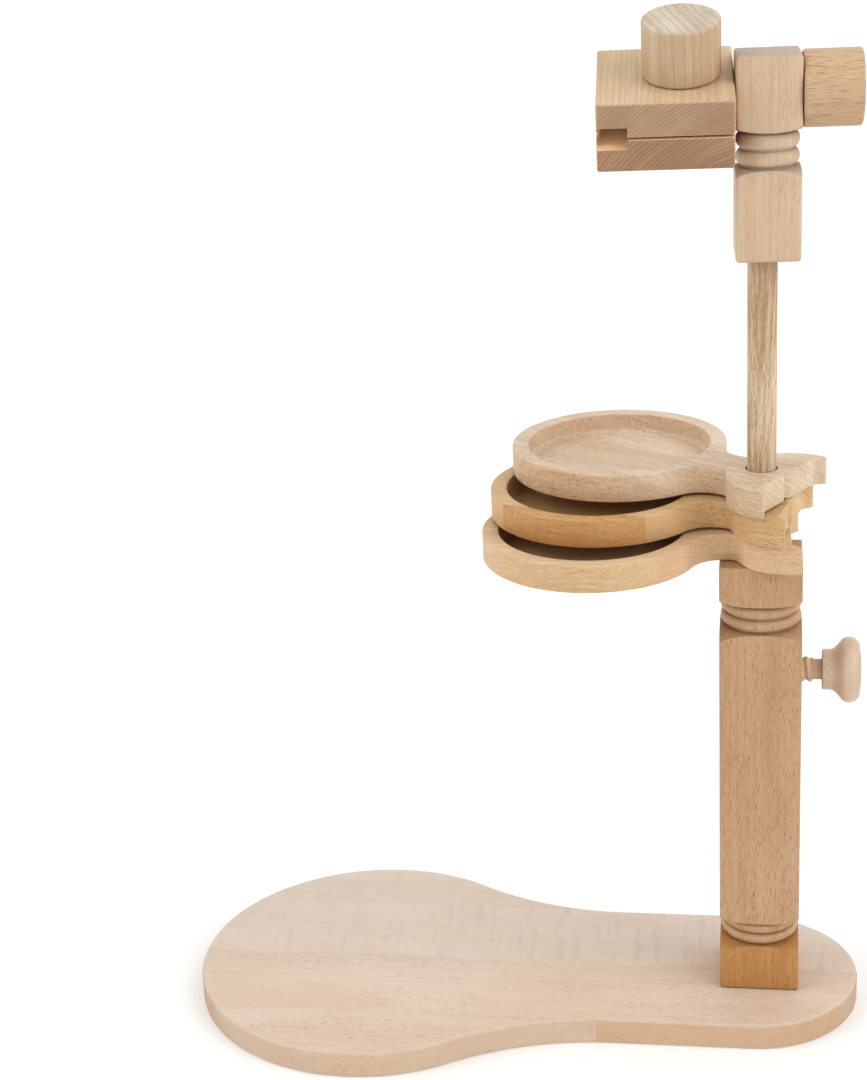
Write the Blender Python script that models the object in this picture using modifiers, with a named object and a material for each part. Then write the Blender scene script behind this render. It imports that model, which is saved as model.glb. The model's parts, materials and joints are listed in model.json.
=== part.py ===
"""Beech embroidery hoop stand: keyhole base, turned column, sliding mast with
three fish-tail trays, and a tilting two-jaw hoop clamp.

Units are metres, +Z is up.  The origin is on the table, under the middle of the
base board; +X runs along the board towards the column.
"""
import math

import bmesh
import bpy
from mathutils import Vector

# ---------------------------------------------------------------- dimensions
GAP = 0.0003                 # clearance between neighbouring pieces

# base board, a keyhole outline
BASE_LENGTH = 0.350
BASE_ROUND_R = 0.0934        # big round end
BASE_NARROW_R = 0.0538       # narrow end, and half the width of the straight part
BASE_WAIST_X = 0.050         # where the straight side starts to flare
BASE_THICK = 0.0140
BASE_EDGE = 0.0016

# column
COLUMN_X = 0.1244
COLUMN_SIDE = 0.0400
COLUMN_FOOT = BASE_THICK + GAP
COLUMN_TOP = 0.2487
COLUMN_EDGE = 0.0010
FOOT_BLOCK_TOP = 0.0387
SHAFT_BOTTOM = 0.0531
SHAFT_TOP = 0.2122
TOP_BLOCK_BOTTOM = 0.2284
MAST_BORE_DEPTH = 0.1860

# mast
DOWEL_R = 0.0070
DOWEL_FOOT = 0.1688
DOWEL_IN_HEAD = 0.0250
HEAD_X = COLUMN_X + 0.0020   # the block sits a little off the dowel's centre
HEAD_SIDE = 0.0299
HEAD_SWIVEL = 3.0            # the head's turn about the mast, degrees
HEAD_FOOT = 0.3968
HEAD_LOW_TOP = 0.4388
HEAD_CUBE_FOOT = 0.4562
HEAD_TOP = 0.4903
HEAD_EDGE = 0.0017
TILT_Z = 0.4732
TILT_HOLE_R = 0.0040

# trays, bowl centre to mast hole
TRAY_REACH = 0.0825
TRAY_R = 0.0538
TRAY_BOWL_R = 0.0457
TRAY_BOWL_DEPTH = 0.0097
TRAY_THICK = 0.0137
TRAY_HOLE_R = 0.00775
TRAY_EDGE = 0.0007
TRAY_TOPS = {"tray_upper": 0.2928, "tray_middle": 0.2777, "tray_lower": 0.2628}
TRAY_SWING = {"tray_upper": 30.3, "tray_middle": 13.6, "tray_lower": -1.0}

# hoop clamp
JAW = 0.0618                 # along the tilt axis
JAW_DEPTH = 0.0600
JAW_UP_THICK = 0.0165
JAW_LOW_THICK = 0.0157
JAW_RISE = 0.0007            # middle of the upper jaw above the tilt axis
JAW_SPLIT = 0.0007
JAW_EDGE = 0.0012
JAW_TILT = 15.7
RECESS = 0.0050
HOOP_IN_R = 0.1100           # rim of the hoop the recess is shaped for
HOOP_OUT_R = 0.1248
HOOP_LENS = 0.0028           # height of the island inside the rim
THROAT_HALF = 0.0163
POCKET_HALF = 0.0253
POCKET_NEAR = 0.0200
POCKET_FAR = 0.0296
CLAMP_FROM_SIDE = 0.0235
CLAMP_HOLE_R = 0.0038

# knobs
CLAMP_KNOB_R = 0.01785
CLAMP_KNOB_H = 0.0263
TILT_KNOB_R = 0.0174
TILT_KNOB_LEN = 0.0268
TILT_KNOB_CLEAR = 0.0004     # from the head block's side
KNOB_EDGE = 0.0014

# M6 hardware
M6_R = 0.00295
M6_TIP = 0.0005              # chamfer at a stud's end
INSERT_R = 0.0050
INSERT_LEN = 0.0130
INSERT_TIP = 0.0006
DRIVE_HEX_R = 0.0030 / math.cos(math.pi / 6) + 0.0004
DRIVE_DEPTH = 0.0040
NUT_FLATS = 0.0100
NUT_THICK = 0.0050
COLUMN_STUD = (0.0092, 0.0350)           # low and high end above the table
CLAMP_STUD = (-0.0295, 0.0150)           # from the clamp knob's underside
TILT_STUD_ROOT = -0.0162                 # from the jaws' side, into the upper jaw
TILT_STUD_IN_KNOB = 0.0140

# wooden locking screw
LOCK_Z = 0.1873
LOCK_TIP = 0.0075            # distances from the mast axis
LOCK_THREAD_END = 0.0255
LOCK_COLLAR = 0.0301
LOCK_END = 0.0492
LOCK_MAJOR_R = 0.0063
LOCK_CORE_R = 0.0053
LOCK_NECK_R = 0.0051
LOCK_PITCH = 0.0038

# ---------------------------------------------------------------- scene setup
for old in list(bpy.data.objects):
    bpy.data.objects.remove(old, do_unlink=True)

STAND = bpy.data.collections.new("embroidery_hoop_stand")
CUTTERS = bpy.data.collections.new("cutters")
for coll in (STAND, CUTTERS):
    bpy.context.scene.collection.children.link(coll)


def wood(name, rgb, rough=0.55):
    return material(name, rgb, rough, 0.0)


def material(name, rgb, rough, metal):
    mat = bpy.data.materials.new(name)
    mat.use_nodes = True
    bsdf = mat.node_tree.nodes["Principled BSDF"]
    bsdf.inputs["Base Color"].default_value = (*rgb, 1.0)
    bsdf.inputs["Roughness"].default_value = rough
    bsdf.inputs["Metallic"].default_value = metal
    return mat


STEEL = (0.62, 0.63, 0.64)

COLOURS = {
    "base_board": (0.79, 0.65, 0.52),
    "column": (0.58, 0.37, 0.21),
    "locking_screw_shank": (0.66, 0.46, 0.32),
    "locking_screw_knob": (0.74, 0.55, 0.38),
    "mast_dowel": (0.55, 0.42, 0.27),
    "head_block": (0.72, 0.53, 0.36),
    "tray_upper": (0.79, 0.65, 0.52),
    "tray_middle": (0.64, 0.42, 0.22),
    "tray_lower": (0.77, 0.61, 0.42),
    "upper_jaw": (0.60, 0.41, 0.28),
    "lower_jaw": (0.58, 0.39, 0.26),
    "clamp_knob": (0.77, 0.60, 0.42),
    "tilt_knob": (0.68, 0.49, 0.30),
}


# ---------------------------------------------------------------- helpers
def add(name, mesh, coll=STAND):
    obj = bpy.data.objects.new(name, mesh)
    coll.objects.link(obj)
    return obj


def finish(obj, smooth_angle=35.0):
    """Give a piece its own material and shading."""
    if obj.name in COLOURS:
        obj.data.materials.append(wood(obj.name, COLOURS[obj.name]))
    else:
        obj.data.materials.append(material(obj.name, STEEL, 0.3, 1.0))
    obj.data.shade_smooth()
    obj.data.set_sharp_from_angle(angle=math.radians(smooth_angle))
    return obj


def as_cutter(obj):
    for coll in list(obj.users_collection):
        coll.objects.unlink(obj)
    CUTTERS.objects.link(obj)
    obj.hide_render = True
    obj.display_type = "WIRE"
    return obj


def cut(obj, cutter, operation="DIFFERENCE"):
    mod = obj.modifiers.new(cutter.name, "BOOLEAN")
    mod.operation = operation
    mod.solver = "EXACT"
    mod.object = cutter


def bevel(obj, width, segments=2, angle=50.0):
    mod = obj.modifiers.new("rounded_edges", "BEVEL")
    mod.width = width
    mod.segments = segments
    mod.limit_method = "ANGLE"
    mod.angle_limit = math.radians(angle)
    mod.use_clamp_overlap = True


def box(name, size, centre=(0.0, 0.0, 0.0), coll=STAND):
    """A box of the given size, its middle at centre in its own frame."""
    bm = bmesh.new()
    bmesh.ops.create_cube(bm, size=1.0)
    bmesh.ops.scale(bm, vec=Vector(size), verts=bm.verts)
    bmesh.ops.translate(bm, vec=Vector(centre), verts=bm.verts)
    mesh = bpy.data.meshes.new(name)
    bm.to_mesh(mesh)
    bm.free()
    return add(name, mesh, coll)


def cylinder(name, radius, z0, z1, sides=32, coll=STAND, tip=0.0):
    """A cylinder along the object's Z from z0 to z1, its low end chamfered by tip."""
    profile = [(0.0, z1), (radius, z1)]
    if tip:
        profile += [(radius, z0 + tip), (radius - tip, z0)]
    else:
        profile += [(radius, z0)]
    profile += [(0.0, z0)]
    return turned(name, profile, sides, coll)


def turned(name, profile, sides, coll=STAND):
    """A solid of revolution about Z: profile is (radius, z) from the top down."""
    mesh = bpy.data.meshes.new(name)
    bm = bmesh.new()
    verts = [bm.verts.new((r, 0.0, z)) for r, z in profile]
    for a, b in zip(verts, verts[1:]):
        bm.edges.new((a, b))
    bm.to_mesh(mesh)
    bm.free()
    obj = add(name, mesh, coll)
    mod = obj.modifiers.new("turn", "SCREW")
    mod.axis = "Z"
    mod.angle = math.tau
    mod.steps = mod.render_steps = sides
    mod.use_merge_vertices = True
    mod.merge_threshold = 0.00001
    mod.use_smooth_shade = True
    return obj


def prism(name, outline, z0, z1, coll=STAND):
    """A flat closed outline, filled and given thickness, as a welded mesh."""
    curve = bpy.data.curves.new(name + "_outline", "CURVE")
    curve.dimensions = "2D"
    curve.fill_mode = "BOTH"
    curve.extrude = (z1 - z0) / 2
    spline = curve.splines.new("POLY")
    spline.points.add(len(outline) - 1)
    for point, (x, y) in zip(spline.points, outline):
        point.co = (x, y, 0.0, 1.0)
    spline.use_cyclic_u = True
    guide = add(name + "_outline", curve, coll)
    guide.location.z = (z0 + z1) / 2
    bpy.context.view_layer.update()
    evaluated = guide.evaluated_get(bpy.context.evaluated_depsgraph_get())
    mesh = bpy.data.meshes.new_from_object(evaluated)
    mesh.transform(guide.matrix_world)
    bpy.data.objects.remove(guide, do_unlink=True)
    bm = bmesh.new()
    bm.from_mesh(mesh)
    bmesh.ops.remove_doubles(bm, verts=bm.verts, dist=0.000005)
    bmesh.ops.dissolve_limit(bm, angle_limit=math.radians(0.5), verts=bm.verts,
                             edges=bm.edges)
    bmesh.ops.recalc_face_normals(bm, faces=bm.faces)
    bm.to_mesh(mesh)
    bm.free()
    mesh.name = name
    mesh.materials.clear()
    return add(name, mesh, coll)


def arc(cx, cy, radius, start, end, count):
    """Points on a circle, from start to end degrees."""
    return [(cx + radius * math.cos(math.radians(start + (end - start) * i / count)),
             cy + radius * math.sin(math.radians(start + (end - start) * i / count)))
            for i in range(count + 1)]


def mirrored(half):
    """Close an outline whose half runs on y >= 0."""
    return half + [(x, -y) for x, y in reversed(half) if abs(y) > 1e-7]


def empty(name, location, rotation=(0.0, 0.0, 0.0), parent=None):
    obj = bpy.data.objects.new(name, None)
    obj.empty_display_size = 0.02
    STAND.objects.link(obj)
    obj.location = location
    obj.rotation_euler = [math.radians(a) for a in rotation]
    obj.parent = parent
    return obj


def place(obj, parent, location=(0.0, 0.0, 0.0), rotation=(0.0, 0.0, 0.0)):
    obj.parent = parent
    obj.location = location
    obj.rotation_euler = [math.radians(a) for a in rotation]
    return obj


def bead(radius, z_top, z_low, bulge, count=4):
    """Profile points of a half-round bead between two grooves of the given radius."""
    mid, half = (z_top + z_low) / 2, (z_top - z_low) / 2
    return [(radius + bulge * math.sin(math.pi * i / count),
             mid + half * math.cos(math.pi * i / count)) for i in range(count + 1)]


def shoulder(corner, radius, z_square, z_groove, count=3):
    """Profile points from the square's corner radius in to a groove, a quarter round."""
    return [(radius + (corner - radius) * math.cos(math.pi / 2 * i / count),
             z_square + (z_groove - z_square) * math.sin(math.pi / 2 * i / count))
            for i in range(count + 1)]


# ---------------------------------------------------------------- base board
def base_outline():
    """Half-round narrow end, straight sides, flared waist, big round end."""
    narrow_x = BASE_LENGTH / 2 - BASE_NARROW_R
    round_x = -BASE_LENGTH / 2 + BASE_ROUND_R
    run = BASE_WAIST_X - round_x
    # the waist arc touches the straight side and the round end
    waist_r = ((run ** 2 - BASE_ROUND_R ** 2 + BASE_NARROW_R ** 2)
               / (2 * (BASE_ROUND_R - BASE_NARROW_R)))
    waist_y = BASE_NARROW_R + waist_r
    meet = math.degrees(math.atan2(waist_y, run))
    half = arc(narrow_x, 0.0, BASE_NARROW_R, 0.0, 90.0, 16)
    half += arc(BASE_WAIST_X, waist_y, waist_r, -90.0, -180.0 + meet, 8)
    half += arc(round_x, 0.0, BASE_ROUND_R, meet, 180.0, 28)[1:]
    return mirrored(half)


base = prism("base_board", base_outline(), 0.0, BASE_THICK)
bevel(base, BASE_EDGE, 2, 60.0)
hole = as_cutter(cylinder("base_hole", INSERT_R + GAP, -0.01, 0.03))
hole.location.x = COLUMN_X
cut(base, hole)
finish(base)

COLUMN_PIN = empty("column_axis", (COLUMN_X, 0.0, 0.0))

INSERT_FOOT = BASE_THICK - GAP - INSERT_LEN
insert = cylinder("base_insert", INSERT_R, INSERT_FOOT, BASE_THICK - GAP, 28, tip=INSERT_TIP)
place(insert, COLUMN_PIN)
insert_bore = as_cutter(cylinder("base_insert_bore", M6_R + GAP, -0.01, 0.03, 20))
place(insert_bore, COLUMN_PIN)
insert_hex = as_cutter(cylinder("base_insert_hex", DRIVE_HEX_R,
                                -0.01, INSERT_FOOT + DRIVE_DEPTH, 6))
place(insert_hex, COLUMN_PIN)
cut(insert, insert_bore)
cut(insert, insert_hex)
finish(insert)


# ---------------------------------------------------------------- column
def bead_zone(z_top, z_low, groove, bulge):
    """Two beads between three grooves, the outer grooves a little inside the ends."""
    lip = 0.0007
    mid = (z_top + z_low) / 2
    return (bead(groove, z_top - lip, mid + lip / 2, bulge)
            + bead(groove, mid - lip / 2, z_low + lip, bulge))


def column_profile():
    corner = COLUMN_SIDE / math.sqrt(2) + 0.001
    r = 0.0180
    top = COLUMN_TOP + 0.01
    foot = COLUMN_FOOT - 0.01
    points = [(0.0, top), (corner, top)]
    points += shoulder(corner, r, TOP_BLOCK_BOTTOM + 0.0065, TOP_BLOCK_BOTTOM - 0.0008)
    points += bead_zone(TOP_BLOCK_BOTTOM - 0.0008, SHAFT_TOP + 0.0012, r, 0.0016)
    points += list(reversed(shoulder(corner, r, SHAFT_TOP - 0.0060, SHAFT_TOP + 0.0012)))
    points += shoulder(corner, r, SHAFT_BOTTOM + 0.0060, SHAFT_BOTTOM - 0.0008)
    points += bead_zone(SHAFT_BOTTOM - 0.0008, FOOT_BLOCK_TOP + 0.0008, r, 0.0016)
    points += list(reversed(shoulder(corner, r, FOOT_BLOCK_TOP - 0.0060,
                                     FOOT_BLOCK_TOP + 0.0008)))
    points += [(corner, foot), (0.0, foot)]
    return points


column = box("column", (COLUMN_SIDE, COLUMN_SIDE, COLUMN_TOP - COLUMN_FOOT),
             (0.0, 0.0, (COLUMN_TOP + COLUMN_FOOT) / 2))
place(column, COLUMN_PIN)
bevel(column, COLUMN_EDGE, 2)
turning = as_cutter(turned("column_turning", column_profile(), 36))
place(turning, COLUMN_PIN)
cut(column, turning, "INTERSECT")
bore = as_cutter(cylinder("column_bore", DOWEL_R + GAP, COLUMN_TOP - MAST_BORE_DEPTH,
                          COLUMN_TOP + 0.01))
place(bore, COLUMN_PIN)
cut(column, bore)
stud_hole = as_cutter(cylinder("column_stud_hole", M6_R + GAP, 0.0,
                               COLUMN_STUD[1] + 0.0010, 20))
place(stud_hole, COLUMN_PIN)
cut(column, stud_hole)
lock_hole = as_cutter(cylinder("lock_hole", LOCK_MAJOR_R + GAP, 0.0030, 0.0300, 28))
place(lock_hole, COLUMN_PIN, (0.0, 0.0, LOCK_Z), (0.0, 90.0, 0.0))
cut(column, lock_hole)
finish(column)

stud = cylinder("column_stud", M6_R, *COLUMN_STUD, 20, tip=M6_TIP)
place(stud, COLUMN_PIN)
finish(stud)


# ---------------------------------------------------------------- locking screw
def threaded_rod(name, core, major, pitch, z0, z1, steps):
    """A coarse wooden thread along Z: one pitch of profile swept as a helix,
    its open ends closed to the axis and then trimmed square."""
    turns = math.ceil((z1 - z0) / pitch) + 2
    start = z0 - pitch
    ramp = [(core, 0.0), (core, 0.18), (major, 0.42), (major, 0.64), (core, 1.0)]
    mesh = bpy.data.meshes.new(name)
    bm = bmesh.new()
    verts = [bm.verts.new((r, 0.0, start + pitch * (1.0 - t))) for r, t in ramp]
    for a, b in zip(verts, verts[1:]):
        bm.edges.new((a, b))
    bm.to_mesh(mesh)
    bm.free()
    rod = add(name + "_helix", mesh)
    mod = rod.modifiers.new("helix", "SCREW")
    mod.axis = "Z"
    mod.angle = math.tau
    mod.screw_offset = pitch
    mod.iterations = turns
    mod.steps = mod.render_steps = steps
    mod.use_merge_vertices = True
    mod.merge_threshold = 0.00001
    bpy.context.view_layer.update()
    evaluated = rod.evaluated_get(bpy.context.evaluated_depsgraph_get())
    mesh = bpy.data.meshes.new_from_object(evaluated)
    bpy.data.objects.remove(rod, do_unlink=True)
    bm = bmesh.new()
    bm.from_mesh(mesh)
    bmesh.ops.remove_doubles(bm, verts=bm.verts, dist=0.00001)
    rim = [e for e in bm.edges if e.is_boundary]
    middle = (z0 + z1) / 2
    for low in (True, False):
        loop = [e for e in rim if ((e.verts[0].co.z + e.verts[1].co.z) / 2 < middle) == low]
        z_axis = start + (0.5 if low else turns + 0.5) * pitch
        axis_point = bm.verts.new((0.0, 0.0, z_axis))
        for e in loop:
            bm.faces.new((e.verts[0], e.verts[1], axis_point))
    bmesh.ops.recalc_face_normals(bm, faces=bm.faces)
    bm.to_mesh(mesh)
    bm.free()
    mesh.name = name
    rod = add(name, mesh)
    trim = as_cutter(cylinder(name + "_trim", major + 0.002, z0, z1, 24))
    cut(rod, trim, "INTERSECT")
    return rod, trim


LOCK_PIN = empty("locking_screw_axis", (0.0, 0.0, LOCK_Z), (0.0, 90.0, 0.0), COLUMN_PIN)

shank, shank_trim = threaded_rod("locking_screw_shank", LOCK_CORE_R, LOCK_MAJOR_R,
                                 LOCK_PITCH, LOCK_TIP, LOCK_THREAD_END, 20)
place(shank, LOCK_PIN)
place(shank_trim, LOCK_PIN)
neck = as_cutter(cylinder("locking_screw_neck", LOCK_NECK_R, LOCK_THREAD_END - 0.004,
                          LOCK_COLLAR + 0.0100, 24))
place(neck, LOCK_PIN)
cut(shank, neck, "UNION")
finish(shank)


def lock_knob_profile():
    """Collar, hollow flare, rounded rim and a slightly domed end; the end is on top."""
    z = LOCK_COLLAR
    points = [(0.0, LOCK_END), (0.0060, LOCK_END - 0.0001), (0.0105, LOCK_END - 0.0006)]
    rim_r, rim_z, rim = 0.0113, z + 0.0131, 0.0051
    points += [(rim_r + rim * math.cos(math.radians(a)), rim_z + 1.06 * rim * math.sin(math.radians(a)))
               for a in (75, 58, 40, 20, 0, -20, -38)]
    points += [(0.0133, z + 0.0083), (0.0117, z + 0.0070), (0.0106, z + 0.0058),
               (0.0102, z + 0.0046), (0.01015, z + 0.0006), (0.0096, z), (0.0, z)]
    return points


knob = turned("locking_screw_knob", lock_knob_profile(), 28)
place(knob, LOCK_PIN)
socket = as_cutter(cylinder("locking_knob_socket", LOCK_NECK_R + GAP, LOCK_COLLAR - 0.002,
                            LOCK_COLLAR + 0.0106, 24))
place(socket, LOCK_PIN)
cut(knob, socket)
finish(knob, 50.0)

# ---------------------------------------------------------------- mast
dowel = cylinder("mast_dowel", DOWEL_R, DOWEL_FOOT, HEAD_FOOT + DOWEL_IN_HEAD, 32, tip=0.0010)
place(dowel, COLUMN_PIN)
finish(dowel)


def head_profile():
    corner = HEAD_SIDE / math.sqrt(2) + 0.001
    r = 0.0130
    points = [(0.0, HEAD_TOP + 0.01), (corner, HEAD_TOP + 0.01)]
    points += shoulder(corner, r, HEAD_CUBE_FOOT + 0.0058, HEAD_CUBE_FOOT - 0.0004)
    points += bead_zone(HEAD_CUBE_FOOT - 0.0004, HEAD_LOW_TOP + 0.0004, r, 0.0018)
    points += list(reversed(shoulder(corner, r, HEAD_LOW_TOP - 0.0060, HEAD_LOW_TOP + 0.0004)))
    points += [(corner, HEAD_FOOT - 0.01), (0.0, HEAD_FOOT - 0.01)]
    return points


HEAD_PIN = empty("head_axis", (HEAD_X, 0.0, 0.0), (0.0, 0.0, HEAD_SWIVEL))
head = box("head_block", (HEAD_SIDE, HEAD_SIDE, HEAD_TOP - HEAD_FOOT),
           (0.0, 0.0, (HEAD_TOP + HEAD_FOOT) / 2))
place(head, HEAD_PIN)
bevel(head, HEAD_EDGE, 3)
head_turning = as_cutter(turned("head_turning", head_profile(), 32))
place(head_turning, HEAD_PIN)
cut(head, head_turning, "INTERSECT")
head_bore = as_cutter(cylinder("head_bore", DOWEL_R + GAP, HEAD_FOOT - 0.01,
                               HEAD_FOOT + DOWEL_IN_HEAD + GAP))
place(head_bore, COLUMN_PIN)
cut(head, head_bore)
tilt_hole = as_cutter(cylinder("tilt_hole", TILT_HOLE_R, -0.03, 0.03, 24))
place(tilt_hole, HEAD_PIN, (0.0, 0.0, TILT_Z), (0.0, 90.0, 0.0))
cut(head, tilt_hole)
finish(head)


# ---------------------------------------------------------------- trays
def tray_outline():
    """Bowl, narrow neck and fish tail; x runs from the bowl to the tail, the
    mast hole is at the origin."""
    neck_half = 0.0107
    neck_x = -0.0184
    # bowl to neck: a hollow arc of radius neck_r touching the neck's waist and the bowl
    run = neck_x + TRAY_REACH
    neck_r = (run ** 2 + neck_half ** 2 - TRAY_R ** 2) / (2 * (TRAY_R - neck_half))
    meet = math.degrees(math.atan2(neck_half + neck_r, run))
    half = arc(-TRAY_REACH, 0.0, TRAY_R, 180.0, meet, 28)
    half += arc(neck_x, neck_half + neck_r, neck_r, -180.0 + meet, -90.0, 6)[1:]
    # neck to fin: hollow, then the fin's swelling outer edge
    fin_r, fin_x, fin_y = 0.0268, 0.0137, 0.0038
    hollow_r = 0.0050
    dx = math.sqrt((fin_r + hollow_r) ** 2 - (neck_half + hollow_r - fin_y) ** 2)
    hollow_x = fin_x - dx
    turn = math.degrees(math.atan2(neck_half + hollow_r - fin_y, -dx))
    half += arc(hollow_x, neck_half + hollow_r, hollow_r, -90.0, turn - 180.0, 4)
    half += arc(fin_x, fin_y, fin_r, turn, 82.0, 8)[1:]
    # blunt tip, hollow inner corner, straight end with a small notch
    half += [(0.0186, 0.0298), (0.0184, 0.0286), (0.0166, 0.0268), (0.0149, 0.0247),
             (0.0142, 0.0220), (0.0142, 0.0032), (0.0136, 0.0022), (0.0117, 0.0)]
    return mirrored(half)


def bowl_profile():
    """Cutter for the bowl: straight wall, small cove, flat floor; from the top down."""
    floor = TRAY_THICK - TRAY_BOWL_DEPTH
    cove = 0.0028
    points = [(0.0, TRAY_THICK + 0.005), (TRAY_BOWL_R, TRAY_THICK + 0.005)]
    points += [(TRAY_BOWL_R - cove + cove * math.cos(math.radians(a)),
                floor + cove - cove * math.sin(math.radians(a))) for a in (0, 30, 60, 90)]
    return points + [(0.0, floor)]


tray_bowl = as_cutter(turned("tray_bowl", bowl_profile(), 48))
for tray_name, tray_top in TRAY_TOPS.items():
    pivot = empty(tray_name + "_pivot", (0.0, 0.0, tray_top - TRAY_THICK),
                  (0.0, 0.0, -TRAY_SWING[tray_name]), COLUMN_PIN)
    tray = place(prism(tray_name, tray_outline(), 0.0, TRAY_THICK), pivot)
    bevel(tray, TRAY_EDGE, 1, 60.0)
    bowl = as_cutter(tray_bowl.copy())
    bowl.name = tray_name + "_bowl"
    place(bowl, pivot, (-TRAY_REACH, 0.0, 0.0))
    cut(tray, bowl)
    mast_hole = as_cutter(cylinder(tray_name + "_hole", TRAY_HOLE_R, -0.01, 0.03, 24))
    place(mast_hole, pivot)
    cut(tray, mast_hole)
    finish(tray)
bpy.data.objects.remove(tray_bowl, do_unlink=True)

# ---------------------------------------------------------------- hoop clamp
# The jaw frame has its origin on the tilt axis at the stud side of the jaws:
# x = 0 is the side next to the head, x = -JAW the outer side.
JAW_CLEAR = 0.0004
JAW_PIN = empty("jaw_tilt_axis", (-HEAD_SIDE / 2 - JAW_CLEAR, 0.0, TILT_Z), (JAW_TILT, 0.0, 0.0),
                HEAD_PIN)
UP_TOP = JAW_UP_THICK / 2 + JAW_RISE     # top of the upper jaw
UP_FACE = UP_TOP - JAW_UP_THICK          # parting face of the upper jaw
LOW_FACE = UP_FACE - JAW_SPLIT           # parting face of the lower jaw
CLAMP_X = -CLAMP_FROM_SIDE


def recess_outline():
    """Room for a hoop's curved rim, a throat, and a pocket for the rim's screw;
    x is measured from the tilt axis side, the outer side is x = -JAW."""
    centre = -JAW + HOOP_LENS - HOOP_IN_R
    reach = JAW_DEPTH / 2 + 0.003

    def rim(radius, y):
        return centre + math.sqrt(radius ** 2 - y ** 2)

    steps = 8
    half = [(rim(HOOP_IN_R, reach * i / steps), reach * i / steps) for i in range(steps + 1)]
    half += [(rim(HOOP_OUT_R, y), y) for y in
             (reach + (THROAT_HALF - reach) * i / 4 for i in range(5))]
    near, far, corner = -JAW + POCKET_NEAR, -JAW + POCKET_FAR, 0.0022
    half += [(near, THROAT_HALF)]
    half += arc(near + corner, POCKET_HALF - corner, corner, 180.0, 90.0, 3)
    half += arc(far - corner, POCKET_HALF - corner, corner, 90.0, 0.0, 3)
    half += [(far, 0.0)]
    return mirrored(half)


def jaw_plate(name, z_low, z_high, z_recess0, z_recess1):
    jaw = box(name, (JAW, JAW_DEPTH, z_high - z_low), (-JAW / 2, 0.0, (z_low + z_high) / 2))
    place(jaw, JAW_PIN)
    bevel(jaw, JAW_EDGE, 2)
    recess = as_cutter(prism(name + "_recess", recess_outline(), z_recess0, z_recess1))
    place(recess, JAW_PIN)
    cut(jaw, recess)
    return jaw


def jaw_hole(name, radius, z0, z1, sides=24):
    return place(as_cutter(cylinder(name, radius, z0, z1, sides)), JAW_PIN, (CLAMP_X, 0.0, 0.0))


upper = jaw_plate("upper_jaw", UP_FACE, UP_TOP, UP_FACE - 0.003, UP_FACE + RECESS)
cut(upper, jaw_hole("upper_jaw_hole", CLAMP_HOLE_R, -0.02, 0.02))
stud_socket = as_cutter(cylinder("tilt_stud_socket", M6_R + GAP, TILT_STUD_ROOT - GAP,
                                 0.01, 20))
place(stud_socket, JAW_PIN, (0.0, 0.0, 0.0), (0.0, 90.0, 0.0))
cut(upper, stud_socket)
finish(upper)

LOW_BOTTOM = LOW_FACE - JAW_LOW_THICK
lower = jaw_plate("lower_jaw", LOW_BOTTOM, LOW_FACE, LOW_FACE - RECESS, LOW_FACE + 0.003)
cut(lower, jaw_hole("lower_jaw_hole", 0.0036, LOW_BOTTOM - 0.01, LOW_FACE + 0.01))
nut_pocket = jaw_hole("nut_pocket", (NUT_FLATS / 2 + GAP) / math.cos(math.pi / 6),
                      LOW_FACE - NUT_THICK - 2 * GAP, LOW_FACE + 0.01, 6)
cut(lower, nut_pocket)
finish(lower)

nut = cylinder("jaw_nut", NUT_FLATS / 2 / math.cos(math.pi / 6), LOW_FACE - NUT_THICK - GAP,
               LOW_FACE - GAP, 6)
place(nut, JAW_PIN, (CLAMP_X, 0.0, 0.0))
cut(nut, jaw_hole("nut_bore", M6_R + GAP, LOW_FACE - 0.01, LOW_FACE + 0.01, 20))
finish(nut)

clamp = cylinder("clamp_knob", CLAMP_KNOB_R, 0.0, CLAMP_KNOB_H, 40)
place(clamp, JAW_PIN, (CLAMP_X, 0.0, UP_TOP + GAP))
bevel(clamp, KNOB_EDGE, 2)
clamp_socket = as_cutter(cylinder("clamp_knob_socket", M6_R + GAP, -0.01,
                                  CLAMP_STUD[1] + GAP, 20))
place(clamp_socket, JAW_PIN, (CLAMP_X, 0.0, UP_TOP + GAP))
cut(clamp, clamp_socket)
finish(clamp)

clamp_stud = cylinder("clamp_stud", M6_R, *CLAMP_STUD, 20, tip=M6_TIP)
place(clamp_stud, JAW_PIN, (CLAMP_X, 0.0, UP_TOP + GAP))
finish(clamp_stud)

# ---------------------------------------------------------------- tilt stud and knob
TILT_KNOB_X = HEAD_SIDE + JAW_CLEAR + TILT_KNOB_CLEAR    # from the jaw's side, past the head
STUD_END = TILT_KNOB_X + TILT_STUD_IN_KNOB
INSERT_NEAR = 0.0006                         # the insert sits a little inside its knob

TILT_PIN = empty("tilt_stud_axis", (0.0, 0.0, 0.0), (0.0, 90.0, 0.0), JAW_PIN)
tilt_stud = place(cylinder("tilt_stud", M6_R, TILT_STUD_ROOT, STUD_END, 20), TILT_PIN)
finish(tilt_stud)

tilt_knob = cylinder("tilt_knob", TILT_KNOB_R, 0.0, TILT_KNOB_LEN, 40)
place(tilt_knob, TILT_PIN, (0.0, 0.0, TILT_KNOB_X))
bevel(tilt_knob, KNOB_EDGE, 2)
tilt_socket = as_cutter(cylinder("tilt_knob_socket", INSERT_R + GAP, -0.01, 0.0160, 28))
place(tilt_socket, TILT_PIN, (0.0, 0.0, TILT_KNOB_X))
cut(tilt_knob, tilt_socket)
finish(tilt_knob)

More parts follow.
